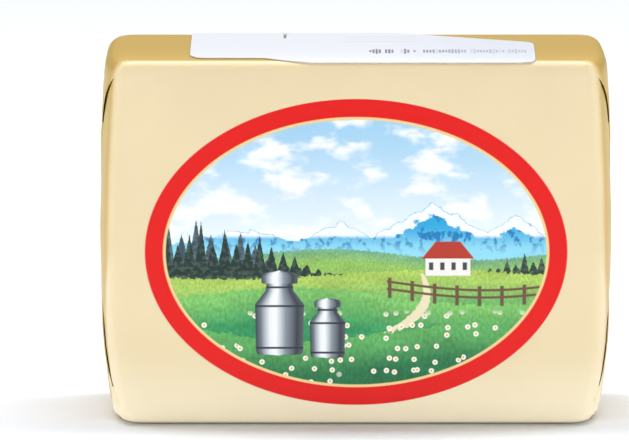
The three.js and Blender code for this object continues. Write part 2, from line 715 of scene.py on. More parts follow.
@dataclass(frozen=True)
class Conifers:
    """A row of dark conifers of uneven height, lower towards one end of the row."""

    base: float
    tall: float
    cell: float
    start: float
    end: float
    seed: float
    dark: Colour
    light: Colour
    shortest: float = 0.45
    uneven: float = 0.65
    sunk: float = 0.3
    twig: float = 0.7
    twig_reach: float = 1.6
    leaf: float = 0.9
    leaf_wide: float = 1.2
    leaf_rim: Span = (0.45, 0.62)

    def draw(self, canvas: Canvas) -> None:
        """Paints the trees, which stand on what is painted next.

        Args:
            canvas: the picture in the oval.
        """
        cells = canvas.u / self.cell + self.seed
        number = cells.floor()
        between = abs(cells - number - 0.5) * 2
        tall = self.shortest + self.uneven * canvas.bench.chance(number)
        tall = tall * canvas.u.step(self.end, self.start) * self.tall
        depth = tall * (1 - between) + canvas.ragged(self.twig, self.twig_reach) + self.base - canvas.v
        leaves = canvas.grain(self.leaf, self.leaf_wide).step(*self.leaf_rim)
        leaves = canvas.bench.mix(leaves, self.dark, self.light)
        canvas.fill(depth - canvas.u.step(self.start, self.end) * self.tall * self.sunk, leaves)


@dataclass(frozen=True)
class Farmhouse:
    """A small white house with a red roof."""

    middle: float = 18
    base: float = -4.6
    half: float = 4.4
    wall: float = 3.4
    roof: float = 3.4
    eave: float = 0.7
    eave_crisp: float = 9
    ridge_crisp: float = 0.6
    ridge_share: float = 0.55
    hip_slope: float = 0.75
    bay: float = 2.2
    pane_half: float = 0.42
    pane_tall: float = 0.75
    pane_middle: float = 1.9
    margin: float = 0.4
    lime: Colour = paint(247, 244, 236)
    tile: Colour = paint(186, 62, 44)
    pane: Colour = paint(70, 72, 78)

    def draw(self, canvas: Canvas) -> None:
        """Paints the roof, the wall and its row of windows.

        Args:
            canvas: the picture in the oval.
        """
        aside = abs(canvas.u - self.middle)
        up = canvas.v - self.base
        eaves = (self.half + self.eave - aside).at_most((up - self.wall) * self.eave_crisp)
        ridge = (self.wall + self.roof - up) * self.ridge_crisp
        hips = (aside - self.half * self.ridge_share).at_least(0) * self.hip_slope
        canvas.fill(eaves.at_most(ridge - hips), self.tile)
        canvas.fill((self.half - aside).at_most(self.wall - up).at_most(up), self.lime)
        bay = aside / self.bay
        panes = self.pane_half - abs(bay - bay.floor() - 0.5) * self.bay
        panes = panes.at_most(self.pane_tall - abs(up - self.pane_middle))
        canvas.fill(panes.at_most(self.half - self.margin - aside), self.pane)


@dataclass(frozen=True)
class Path:
    """A pale path that winds down the hills and widens towards the front."""

    sand: Colour = paint(240, 228, 190)
    top: float = -4.2
    start: float = 13
    drift: float = 0.75
    swing: float = 5
    length: float = 4.6
    narrow: float = 0.35
    widening: float = 0.11
    crumb: float = 0.8

    def draw(self, canvas: Canvas) -> None:
        """Paints the path.

        Args:
            canvas: the picture in the oval.
        """
        down = (self.top - canvas.v).at_least(0)
        middle = self.start - down * self.drift + self.swing * (down / self.length).sine()
        half = self.narrow + down * self.widening + canvas.ragged(self.crumb, self.crumb)
        canvas.fill((half - abs(canvas.u - middle)).at_most(self.top - canvas.v), self.sand)


@dataclass(frozen=True)
class Fence:
    """A wooden fence along a hill's outline."""

    along: Hill
    left: float = 6
    pitch: float = 4.4
    tall: float = 3.6
    post: float = 0.36
    rail: float = 0.24
    rail_middle: float = 0.58
    rail_apart: float = 0.2
    rooted: float = 0.4
    wood: Colour = paint(112, 84, 62)

    def draw(self, canvas: Canvas) -> None:
        """Paints the posts and two rails.

        Args:
            canvas: the picture in the oval.
        """
        up = canvas.v - self.along.line(canvas)
        bay = canvas.u / self.pitch
        posts = (self.post - abs(bay - bay.floor() - 0.5) * self.pitch).at_most(self.tall - up)
        rails = self.rail - abs(abs(up - self.tall * self.rail_middle) - self.tall * self.rail_apart)
        timber = posts.at_least(rails).at_most(up + self.rooted)
        canvas.fill(timber.at_most(canvas.u - self.left), self.wood)


@dataclass(frozen=True)
class Churn:
    """A metal milk churn with a lid and a shoulder."""

    middle: float
    base: float
    tall: float
    half: float
    profile: tuple[Span, ...] = (
        (0.0, 0.0), (0.012, 0.9), (0.05, 0.96), (0.6, 1.0), (0.76, 0.58), (0.84, 0.54),
        (0.845, 0.74), (0.93, 0.76), (0.97, 0.62), (0.985, 0.28), (1.0, 0.0))
    shine: tuple[tuple[float, Colour], ...] = (
        (0.0, paint(46, 52, 60)), (0.12, paint(112, 122, 132)), (0.3, paint(236, 241, 245)),
        (0.42, paint(250, 252, 253)), (0.62, paint(140, 150, 160)), (0.85, paint(60, 66, 74)),
        (1.0, paint(92, 98, 108)))
    bands: tuple[float, ...] = (0.09, 0.58, 0.8)
    band_half: float = 0.2
    band: Colour = paint(52, 57, 66)

    def draw(self, canvas: Canvas) -> None:
        """Paints the churn's round body and its bands.

        Args:
            canvas: the picture in the oval.
        """
        up = (canvas.v - self.base) / self.tall
        stops = [(place, (share, share, share, 1.0)) for place, share in self.profile]
        half = canvas.bench.node("ShaderNodeValToRGB", {"stops": stops}, {"Fac": up}) * self.half
        inside = half - abs(canvas.u - self.middle) - PRINT_SOFTNESS
        across = (canvas.u - self.middle) / (half * 2).at_least(PRINT_SOFTNESS) + 0.5
        body = canvas.bench.node("ShaderNodeValToRGB", {"stops": list(self.shine)}, {"Fac": across})
        canvas.fill(inside, body)
        for place in self.bands:
            canvas.fill(inside.at_most(self.band_half - abs(up - place) * self.tall), self.band)


@dataclass(frozen=True)
class Daisies:
    """White daisies with yellow middles, scattered over the grass in front."""

    pitch: float = 2.3
    petal: float = 0.62
    petal_soft: float = 0.2
    eye: float = 0.24
    eye_soft: float = 0.1
    top: float = -11
    top_fade: float = 2
    share: float = 0.5
    share_soft: float = 0.02
    white: Colour = paint(252, 252, 248)
    yellow: Colour = paint(246, 196, 40)

    def draw(self, canvas: Canvas) -> None:
        """Paints a daisy in some of the cells of an uneven grid.

        Args:
            canvas: the picture in the oval.
        """
        inputs = {"Vector": canvas.bench.spot(canvas.u, canvas.v), "Scale": 1 / self.pitch}
        scatter = canvas.bench.node("ShaderNodeTexVoronoi", {"voronoi_dimensions": "2D"}, inputs)
        lot = Wire(canvas.bench, scatter.socket.node.outputs["Color"]) * 1.0
        away = scatter * self.pitch
        grows = lot.step(self.share, self.share + self.share_soft)
        grows = grows * canvas.v.step(self.top, self.top - self.top_fade)
        canvas.lay(away.step(self.petal, self.petal - self.petal_soft) * grows, self.white)
        canvas.lay(away.step(self.eye + self.eye_soft, self.eye - self.eye_soft) * grows, self.yellow)


FAR_HILL = Hill(-0.4, 1.1, 9, 2.2, paint(120, 176, 132), paint(150, 196, 96), 3, 0.6)
FIELD = Hill(-4.4, 0.9, 13, 0.4, paint(176, 206, 96), paint(98, 176, 104), 8, 0.8)
MEADOW = Hill(-8.6, 1.7, 12, 2.6, paint(128, 196, 104), paint(52, 150, 92), 8, 1.0)
FRONT_GRASS = Hill(-16, 1.6, 10, -0.5, paint(100, 178, 98), paint(40, 118, 74), 8, 1.2)
LANDSCAPE = (
    Sky(),
    Peaks(),
    FAR_HILL,
    Conifers(-1.5, 9.5, 2.9, -34, -4, 0.3, paint(62, 84, 92), paint(92, 116, 118)),
    Conifers(-2.5, 8.5, 2.3, -30, 4, 0.7, paint(34, 54, 50), paint(66, 86, 76)),
    Conifers(-3.5, 4, 1.7, 36, 21, 0.1, paint(48, 66, 60), paint(84, 104, 84)),
    FIELD,
    Farmhouse(),
    MEADOW,
    Path(),
    Fence(MEADOW),
    FRONT_GRASS,
    Daisies(),
    Churn(-15, -20.5, 17, 4.9),
    Churn(-5.6, -21, 12, 3.6),
)


@dataclass(frozen=True)
class OvalPrint:
    """The printed oval: a landscape in a red ring with a thin pale line inside it."""

    half_width: float = 41.4
    half_height: float = 30.4
    ring: float = 3.55
    line: float = 0.55
    red: Colour = paint(232, 20, 14)
    pale: Colour = paint(245, 212, 150)

    def draw(self, canvas: Canvas) -> None:
        """Paints the oval over what is there.

        Args:
            canvas: the front face, with its middle where the oval's is.
        """
        canvas.fill(self._inside(canvas, 0), self.red)
        canvas.fill(self._inside(canvas, self.ring), self.pale)
        picture = Canvas(canvas.bench, canvas.u, canvas.v, Sky.low)
        for motif in LANDSCAPE:
            motif.draw(picture)
        canvas.fill(self._inside(canvas, self.ring + self.line), picture.colour)

    def _inside(self, canvas: Canvas, inset: float) -> Wire:
        """How far inside the oval's outline, drawn in by an inset, a place is.

        Args:
            canvas: the front face.
            inset: how far the outline is drawn in.

        Returns:
            About the distance to the outline, negative outside.
        """
        half_width = self.half_width - inset
        half_height = self.half_height - inset
        reach = ((canvas.u / half_width) ** 2 + (canvas.v / half_height) ** 2).root()
        return (1 - reach) * half_height


@dataclass(frozen=True)
class FoilPaper:
    """Satin foil paper: cream print on the front, pale gold round the sides, with painted light and painted
    shade in its colour.
    """

    cream: Colour = paint(238, 219, 177)
    # painted light: the front's cream turns lighter towards the bottom, up to this height
    low_cream: Colour = paint(255, 242, 210)
    painted_light_height: float = 16
    # gold round the sides: partly the foil's own tone, partly painted shade where the sides turn away from the
    # front light
    gold: Colour = paint(208, 175, 97)
    # painted shade: dark brown on the slot faces under the lifted ears
    slot_painted_shade: Colour = paint(84, 64, 30)
    slot_painted_shade_soft: float = 0.3
    ends_from: float = 44
    ends_fade: float = 1
    margin: float = 1.6
    margin_soft: float = 0.4
    # painted light: the cream reaches further round the lower ends and under the foot; painted shade: it
    # blends softly into the gold on the ends
    painted_light_end_margin: float = 5
    painted_shade_end_soft: float = 1
    painted_light_end_heights: Span = (36, 14)
    painted_light_foot_margin: float = 3
    painted_light_foot_heights: Span = (5, 3)
    tone_size: float = 14
    tone: float = 0.06
    fibre_size: float = 0.3
    fibre_detail: float = 3
    fibre_shown: float = 0.1
    rough: float = 0.36
    uneven: float = 0.12
    metal: float = 0.3
    specular: float = 0.3

    def make(self, front: float, middle: float) -> bpy.types.Material:
        """Makes the wrapper's material.

        Args:
            front: y of the front face, in millimetres.
            middle: height of the printed oval's middle.

        Returns:
            The material.
        """
        bench = Bench("foil_paper")
        x, y, z = bench.place()
        canvas = Canvas(bench, x, z - middle, self.cream)
        # painted light: lighter cream towards the bottom of the front
        canvas.lay(z.step(self.painted_light_height, 0), self.low_cream)
        OvalPrint().draw(canvas)
        # painted light and painted shade: cream reaches round the lower ends and the foot, and fades softly
        # into the gold on the ends
        ends = (abs(x) - self.ends_from).step(0, self.ends_fade)
        wide = self.margin + self.painted_light_end_margin * z.step(*self.painted_light_end_heights) * ends
        wide = wide + self.painted_light_foot_margin * z.step(*self.painted_light_foot_heights) * (1 - ends)
        printed = ((wide - (y - front)) / (self.margin_soft + self.painted_shade_end_soft * ends)).step(-1, 1)
        colour = bench.mix(printed, self.gold, canvas.colour)
        # painted shade: the faces marked inner, in the slots under the ears, turn dark brown
        inner = bench.node("ShaderNodeAttribute", {"attribute_name": INNER}, {}, "Fac")
        colour = bench.mix(inner.step(0, self.slot_painted_shade_soft), colour, self.slot_painted_shade)
        where = bench.spot(x, y, z)
        colour = bench.shade(colour, 1 - self.tone / 2 + self.tone * bench.noise(where, self.tone_size))
        fibre = bench.noise(where, self.fibre_size, self.fibre_detail)
        bump = bench.bump(fibre, self.fibre_shown)
        return bench.surface(Base_Color=colour, Roughness=self.rough + self.uneven * fibre,
                             Metallic=self.metal * (1 - printed), Specular_IOR_Level=self.specular,
                             Normal=bump)


@dataclass(frozen=True)
class LabelPaper:
    """Smooth white label paper with a row of fine grey marks and a few faint lines, a painted shade towards
    its right end and a painted shadow along its slit.
    """

    white: Colour = paint(217, 219, 226)
    # painted shade: the label turns darker and bluer towards its right end
    shade: Colour = paint(208, 213, 223)
    painted_shade_span: Span = (0, 30)
    ink: Colour = paint(70, 72, 84)
    mark_pitch: float = 0.62
    mark_half: float = 0.2
    mark_left: float = 2.5
    mark_right: float = 33.6
    mark_middle: float = -10.8
    mark_tall: float = 2.6
    mark_shortest: float = 0.35
    mark_skipped: float = 0.3
    mark_ink: Span = (0.35, 0.5)
    lines: tuple[float, ...] = (8.4, 5.2, 1.6)
    line_half: float = 0.35
    line_left: float = -2
    line_right: float = 12
    line_ink: float = 0.16
    # painted shadow along the slit, in the grey of the ink
    slit_shadow_start: float = 6
    slit_shadow_half: float = 0.3
    slit_shadow_strength: float = 0.75
    fibre_size: float = 0.25
    fibre_detail: float = 3
    fibre_shown: float = 0.08
    rough: float = 0.42
    uneven: float = 0.16

    def make(self, tear: float) -> bpy.types.Material:
        """Makes the label's material.

        Args:
            tear: x of the slit, in millimetres, which has a painted shadow along it.

        Returns:
            The material.
        """
        bench = Bench("label_paper")
        x, y, z = bench.place()
        canvas = Canvas(bench, x, y, self.white)
        # painted shade, darker towards the right end
        canvas.lay(x.step(*self.painted_shade_span), self.shade)
        self._row(canvas)
        span = (x - self.line_left).at_most(self.line_right - x)
        for place in self.lines:
            canvas.lay(span.at_most(self.line_half - abs(y - place)).soft() * self.line_ink, self.ink)
        # painted shadow: a dark line along the slit, where shade falls in it
        slit_shadow = (self.slit_shadow_half - abs(x - tear)).at_most(y - self.slit_shadow_start)
        canvas.lay(slit_shadow.soft() * self.slit_shadow_strength, self.ink)
        fibre = bench.noise(bench.spot(x, y, z), self.fibre_size, self.fibre_detail)
        bump = bench.bump(fibre, self.fibre_shown)
        return bench.surface(Base_Color=canvas.colour, Roughness=self.rough + self.uneven * fibre,
                             Normal=bump)

    def _row(self, canvas: Canvas) -> None:
        """Paints the row of marks, of uneven height and fainter to the right.

        Args:
            canvas: the label's upper face.
        """
        cells = canvas.u / self.mark_pitch
        number = cells.floor()
        wide = self.mark_half - abs(cells - number - 0.5) * self.mark_pitch
        share = self.mark_shortest + (1 - self.mark_shortest) * canvas.bench.chance(number)
        tall = self.mark_tall * share - abs(canvas.v - self.mark_middle)
        kept = canvas.bench.chance(number + 0.5) - self.mark_skipped
        span = (canvas.u - self.mark_left).at_most(self.mark_right - canvas.u)
        marks = wide.at_most(tall).at_most(kept).at_most(span).soft()
        faintest, range_up = self.mark_ink
        canvas.lay(marks * (faintest + range_up * canvas.u.step(self.mark_right, self.mark_left)), self.ink)


@dataclass(frozen=True)
class Fold:
    """A layer of paper folded flat on a side: inside all its edges, it stands above what it lies on."""

    name: str
    side: Side
    edges: tuple[tuple[Point, Point], ...]
    rise: float
    lift: float
    open_from: Span | None = None

    def inside(self, place: Vector) -> float:
        """How far inside the layer's edges a place is.

        Args:
            place: in millimetres.

        Returns:
            The distance to the nearest edge, negative outside.
        """
        return min((place - Vector(point)).dot(Vector(inward).normalized()) for point, inward in self.edges)


@dataclass(frozen=True)
class PaperSlack:
    """How loose the foil paper lies: tight on the front and under the label, loose at the corners."""

    half: float
    front: float
    height: float
    ends: float = 0.18
    back: float = 0.45
    low_corner: float = 0.6
    high_corner: float = 0.2
    least: float = 0.03
    facing: Span = (0.3, 0.9)
    lying: Span = (0.3, 3)
    corner_reach: float = 9
    corner_full: float = 1
    dent_size: float = 11
    dent_depth: float = 0.5
    ridge_size: float = 7
    ridge_depth: float = 0.3
    crease_size: float = 2.6
    crease_depth: float = 0.55
    crease_reach: float = 9
    crease_fade: float = 6
    crease_start: float = 5.5
    crease_full: float = 3

    def crumple(self, piece: Workpiece) -> None:
        """Gives the paper its dents and creases.

        Args:
            piece: the folded block.
        """
        ridged = {"musgrave_type": "RIDGED_MULTIFRACTAL", "octaves": 2}
        slack = piece.weigh("slack", self._loose)
        piece.crumple("CLOUDS", self.dent_size, self.dent_depth, slack, noise_depth=1)
        piece.crumple("MUSGRAVE", self.ridge_size, self.ridge_depth, slack, **ridged)
        creased = piece.weigh("creased", self._creased)
        piece.crumple("MUSGRAVE", self.crease_size, self.crease_depth, creased, **ridged)

    def _loose(self, place: Vector, normal: Vector) -> float:
        """How loose the paper is at a place.

        Args:
            place: in millimetres.
            normal: the surface's normal there.

        Returns:
            A weight from 0 to 1.
        """
        middle = self.height / 2
        ends = ease(abs(normal.x), *self.facing) * self.ends
        back = ease(normal.y, *self.facing) * self.back
        corner = self.low_corner if place.z < middle else self.high_corner
        for away, edge in ((abs(place.x), self.half), (abs(place.z - middle), middle)):
            corner *= ease(away, edge - self.corner_reach, edge - self.corner_full)
        return ease(place.z, *self.lying) * min(1.0, max(self.least, ends, back, corner))

    def _creased(self, place: Vector, normal: Vector) -> float:
        """How finely creased the paper is at a place: only round the lower corners of the front.

        Args:
            place: in millimetres.
            normal: the surface's normal there, which makes no difference.

        Returns:
            A weight from 0 to 1.
        """
        deep = place.y - self.front
        near = ease(self.crease_reach - deep, 0, self.crease_fade) * ease(deep, 0, 1)
        low = ease(self.crease_reach - place.z, 0, self.crease_fade)
        return near * low * ease(abs(place.x), self.half - self.crease_start, self.half - self.crease_full)


@dataclass
class WrappedBlock:
    """The butter in its foil paper, folded like a tray and closed at the back."""

    width: float
    depth: float
    height: float
    end_taper: float = 1.9
    top_taper: float = 0.8
    full_at: float = 14
    fullest_height: float = 34
    bulge_above: float = 1.55
    bulge_below: float = 2.55
    bulge_power: float = 1.6
    crown_power: float = 4
    front_crown: float = 0.4
    front_edge: float = 1.5
    back_edge: float = 3
    front_corner: float = 2.8
    back_corner: float = 3.5
    corner_facets: int = 3
    rim_facets: int = 2
    smoothing: int = 3
    crisp: float = 35
    grid_margin: float = 6
    grid_cells: tuple[int, int, int] = (10, 3, 7)
    cage_points: tuple[int, int, int] = (7, 9, 9)
    ear_rise: float = 0.35
    ear_drop: float = 2.5
    upper_lift: float = 0.4
    upper_slot: Span = (15, 4.5)
    lower_lift: float = 0.15
    lower_slot: Span = (7, 24)
    lap_rise: float = 0.3
    lap_lift: float = 0.25
    lap_edge: float = 31
    flap_rise: float = 0.5
    flap_lift: float = 0.3
    flap_length: float = 25
    flap_start: float = 6
    print_height: float = 34.4
    fold_wall: float = 0.16
    fold_gap: float = 0.3
    groove: float = 0.2
    lip_share: float = 0.6
    slot_depth: float = 1.6
    cut_reach: float = 2
    cut_facing: float = 0.15
    layer_facing: Span = (0.05, 0.6)
    layer_front: Span = (0.2, 4)
    layer_back: float = 6
    spring_waves: Point = (0.21, 0.27, 0.33)
    spring_width: float = 3.5
    spring_rise: float = 12
    spring_fall: float = 5
    spring_back: Span = (2, 9)
    spring_facing: float = 0.3
    groove_facing: float = 0.4
    groove_front: Span = (1, 5)

    @property
    def front(self) -> float:
        """y of the front face."""
        return -self.depth / 2

    @property
    def back(self) -> float:
        """y of the back under its folds."""
        return self.depth / 2 - self.lap_rise - self.flap_rise

    @property
    def half(self) -> float:
        """Half the width where the ends are fullest."""
        return self.width / 2

    def build(self) -> Workpiece:
        """Models the block.

        Returns:
            The workpiece, ready to be finished.
        """
        piece = Workpiece.cube("wrapper", (-self.half, self.front, 0), (self.half, self.back, self.height))
        self._round_edges(piece)
        self._rule_grid(piece)
        piece.modify("SUBSURF", levels=self.smoothing, render_levels=self.smoothing)
        self._fill_out(piece)
        for fold in self._folds():
            self._lay(piece, fold)
        PaperSlack(self.half, self.front, self.height).crumple(piece)
        return piece

    def _round_edges(self, piece: Workpiece) -> None:
        """Rounds the box: corners wider at the back than at the front, then both rims.

        Args:
            piece: the plain box.
        """
        piece.edit(True)
        piece.bevel(self.back_corner, self.corner_facets, self._runs_deep)
        narrow = self.front_corner / self.back_corner
        for x in (-self.half, self.half):
            for z in (0, self.height):
                corner = Vector((x, self.front, z))
                near = (self.back_corner + TOUCH) * MM
                piece.select(Part.VERTS, lambda vert: self._within(vert.co, corner * MM, near))
                bpy.ops.transform.resize(value=(narrow, 1, narrow), center_override=corner * MM)
        piece.bevel(self.front_edge, self.rim_facets, lambda edge: self._on_level(edge, self.front))
        piece.bevel(self.back_edge, self.rim_facets, lambda edge: self._on_level(edge, self.back))
        piece.edit(False)

    @staticmethod
    def _runs_deep(edge: bmesh.types.BMEdge) -> bool:
        """Whether an edge runs from front to back."""
        first, second = (vert.co for vert in edge.verts)
        return abs(first.y - second.y) > (second - first).length / 2

    @staticmethod
    def _within(place: Vector, corner: Vector, reach: float) -> bool:
        """Whether a place is in a box about a corner."""
        return all(abs(part) <= reach for part in place - corner) and abs(place.y - corner.y) < TOUCH * MM

    @staticmethod
    def _on_level(edge: bmesh.types.BMEdge, level: float) -> bool:
        """Whether an edge lies on one depth, in millimetres."""
        return all(abs(vert.co.y / MM - level) < TOUCH for vert in edge.verts) and len(edge.link_faces) == 2

    def _rule_grid(self, piece: Workpiece) -> None:
        """Divides the box evenly, so that it bends smoothly.

        Args:
            piece: the rounded box.
        """
        sides = ((-self.half, self.half), (self.front, self.back), (0, self.height))
        piece.edit(True)
        for axis, ((low, high), cells) in enumerate(zip(sides, self.grid_cells)):
            start = low + self.grid_margin
            span = high - self.grid_margin - start
            piece.rule(axis, [start + span * i / cells for i in range(cells + 1)])
        piece.edit(False)

    def _fill_out(self, piece: Workpiece) -> None:
        """Bends the box with a lattice: narrower at the front, ends bulging, front crowned.

        Args:
            piece: the even, rounded box.
        """
        bpy.ops.object.add(type="LATTICE")
        holder = bpy.context.object
        cage = holder.data
        for letter, points in zip("uvw", self.cage_points):
            setattr(cage, f"points_{letter}", points)
            setattr(cage, f"interpolation_type_{letter}", "KEY_CATMULL_ROM")
        size = Vector((2 * self.half, self.back - self.front, self.height))
        centre = Vector((0, (self.front + self.back) / 2, self.height / 2))
        holder.location = centre * MM
        holder.scale = size * MM
        bpy.context.view_layer.update()
        for point in cage.points:
            bent = self._bent(centre + Vector(a * b for a, b in zip(point.co, size)))
            point.co_deform = [(a - b) / c for a, b, c in zip(bent, centre, size)]
        piece.modify("LATTICE", object=holder)
        bpy.data.objects.remove(holder)

    def _bent(self, place: Vector) -> Vector:
        """Where a place of the even box goes on the filled-out block.

        Args:
            place: in millimetres.

        Returns:
            The new place.
        """
        x, y, z = place
        front = max(0.0, 1 - (y - self.front) / self.full_at) ** 2
        if z > self.fullest_height:
            share = (z - self.fullest_height) / (self.height - self.fullest_height)
            drawn_in = self.bulge_above * share**self.bulge_power
        else:
            share = (self.fullest_height - z) / self.fullest_height
            drawn_in = self.bulge_below * share**self.bulge_power
        across, up = x / self.half, 2 * z / self.height - 1
        middle = (1 - abs(across) ** self.crown_power) * (1 - abs(up) ** self.crown_power)
        return Vector((
            x * (1 - (drawn_in + self.end_taper * front) / self.half),
            y + self.front_crown * front * (1 - middle),
            z - self.top_taper * front * z / self.height,
        ))

    def _folds(self) -> list[Fold]:
        """The folded layers, in the order that they are laid."""
        folds = []
        upper = ((0, self.front, self.height - self.ear_drop), (0, 1, 1))
        lower = ((0, self.front, self.ear_drop), (0, 1, -1))
        under_top = (self.height - self.upper_slot[0], self.height - self.upper_slot[1])
        ears = (("upper", upper, self.upper_lift, under_top),
                ("lower", lower, self.lower_lift, self.lower_slot))
        for side in (Side.LEFT, Side.RIGHT):
            for name, edge, lift, slot in ears:
                folds.append(Fold(f"{name}_ear_{side.name}", side, (edge,), self.ear_rise, lift, slot))
        lap = ((0, 0, self.lap_edge), (0, 0, 1))
        folds.append(Fold("lap", Side.BACK, (lap,), self.lap_rise, self.lap_lift))
        for name, x in (("left", -1), ("right", 1)):
            edge = x * self.width / 2
            tip = ((edge - x * self.flap_length, 0, 0), (x, 0, 0))
            low = ((edge, 0, self.flap_start), (x, 0, 1))
            high = ((edge, 0, self.height - self.flap_start), (x, 0, -1))
            folds.append(Fold(f"flap_{name}", Side.BACK, (tip, low, high), self.flap_rise, self.flap_lift))
        return folds

    def _lay(self, piece: Workpiece, fold: Fold) -> None:
        """Cuts a fold's edges into the surface and raises the layer inside them.

        Args:
            piece: the block.
            fold: the layer.
        """
        steps = (("layer", self._layer_weight, fold.rise), ("rim", self._rim_weight, fold.lift),
                 ("groove", self._groove_weight, -self.groove))
        piece.edit(True)
        for point, inward in fold.edges:
            normal = Vector(inward).normalized()
            for shift in (-self.fold_gap, 0, self.fold_wall / 2, self.fold_wall):
                piece.cut((Vector(point) + normal * shift) * MM, normal, lambda face: (
                    fold.side.faced(face.normal) > self.cut_facing
                    and abs(fold.inside(face.calc_center_median() / MM)) < self.cut_reach))
        piece.edit(False)
        bpy.context.view_layer.update()
        for name, rule, height in steps:
            group = piece.weigh(f"{fold.name}_{name}", lambda place, normal: (
                rule(fold, place, normal) if fold.side.holds(place) else 0.0))
            piece.modify("DISPLACE", direction="XYZ"[fold.side.axis], strength=fold.side.sign * height * MM,
                         mid_level=0, vertex_group=group)
        if fold.open_from is not None:
            self._open(piece, fold)

    def _open(self, piece: Workpiece, fold: Fold) -> None:
        """Opens a slot under a fold's edge, where the layer stands off what it lies on.

        Args:
            piece: the block with the layer raised.
            fold: the layer.
        """
        low, high = fold.open_from
        inward = Vector(fold.edges[0][1]).normalized()
        piece.edit(True)
        piece.select(Part.FACES, lambda face: (
            0 < fold.inside(face.calc_center_median() / MM) < self.fold_wall / 2
            and fold.side.holds(face.calc_center_median())
            and low < face.calc_center_median().z / MM < high))
        bpy.ops.mesh.extrude_region_move(TRANSFORM_OT_translate={"value": inward * self.slot_depth * MM})
        # marks the slot's faces for the painted shade in the foil's colour
        piece.mark(INNER)
        piece.edit(False)

    def _lip(self, inside: float) -> float:
        """How much of its height a layer has near its edge.

        Args:
            inside: distance from the layer's edge, in millimetres.

        Returns:
            None of it before the edge, a share along the lip, and then all of it.
        """
        if inside < self.fold_wall / 4:
            return 0.0
        return self.lip_share if inside < self.fold_wall * 3 / 4 else 1.0

    def _layer_weight(self, fold: Fold, place: Vector, normal: Vector) -> float:
        """How far a folded layer is raised at a place.

        Args:
            fold: the layer.
            place: in millimetres.
            normal: the surface's normal there.

        Returns:
            A weight from 0 to 1.
        """
        lip = self._lip(fold.inside(place))
        if lip == 0:
            return lip
        raised = ease(fold.side.faced(normal), *self.layer_facing)
        raised *= ease(place.y - self.front, *self.layer_front)
        if fold.side is not Side.BACK:
            raised *= ease(self.back - place.y, 0, self.layer_back)
        return lip * raised

    def _rim_weight(self, fold: Fold, place: Vector, normal: Vector) -> float:
        """How far a folded layer's free edge springs up at a place.

        Args:
            fold: the layer.
            place: in millimetres.
            normal: the surface's normal there.

        Returns:
            A weight from 0 to 1.
        """
        inside = fold.inside(place)
        lip = self._lip(inside)
        if lip == 0:
            return lip
        spring = 0.5 + 0.5 * math.sin(place.dot(Vector(self.spring_waves)))
        if fold.open_from is not None:
            low, high = fold.open_from
            spring = ease(place.z - low, 0, self.spring_rise) * ease(high - place.z, 0, self.spring_fall)
            spring *= ease(self.back - place.y, *self.spring_back)
        near = ease(self.spring_width - inside, 0, self.spring_width)
        return lip * near * spring * ease(fold.side.faced(normal), 0, self.spring_facing)

    def _groove_weight(self, fold: Fold, place: Vector, normal: Vector) -> float:
        """How deep the line along a fold's edge is pressed at a place.

        Args:
            fold: the layer.
            place: in millimetres.
            normal: the surface's normal there.

        Returns:
            A weight from 0 to 1.
        """
        if abs(fold.inside(place)) > self.fold_wall / 4:
            return 0.0
        pressed = ease(fold.side.faced(normal), 0, self.groove_facing)
        return pressed * ease(place.y - self.front, *self.groove_front)

    def dress(self, piece: Workpiece) -> bpy.types.Object:
        """Gives the block its finish and joins it to the frame.

        Args:
            piece: the modelled block.

        Returns:
            The finished object.
        """
        obj = piece.finish(self.crisp)
        obj.data.materials.clear()
        obj.data.materials.append(FoilPaper().make(self.front, self.print_height))
        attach(obj, "root")
        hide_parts("wrapped_block")
        return obj


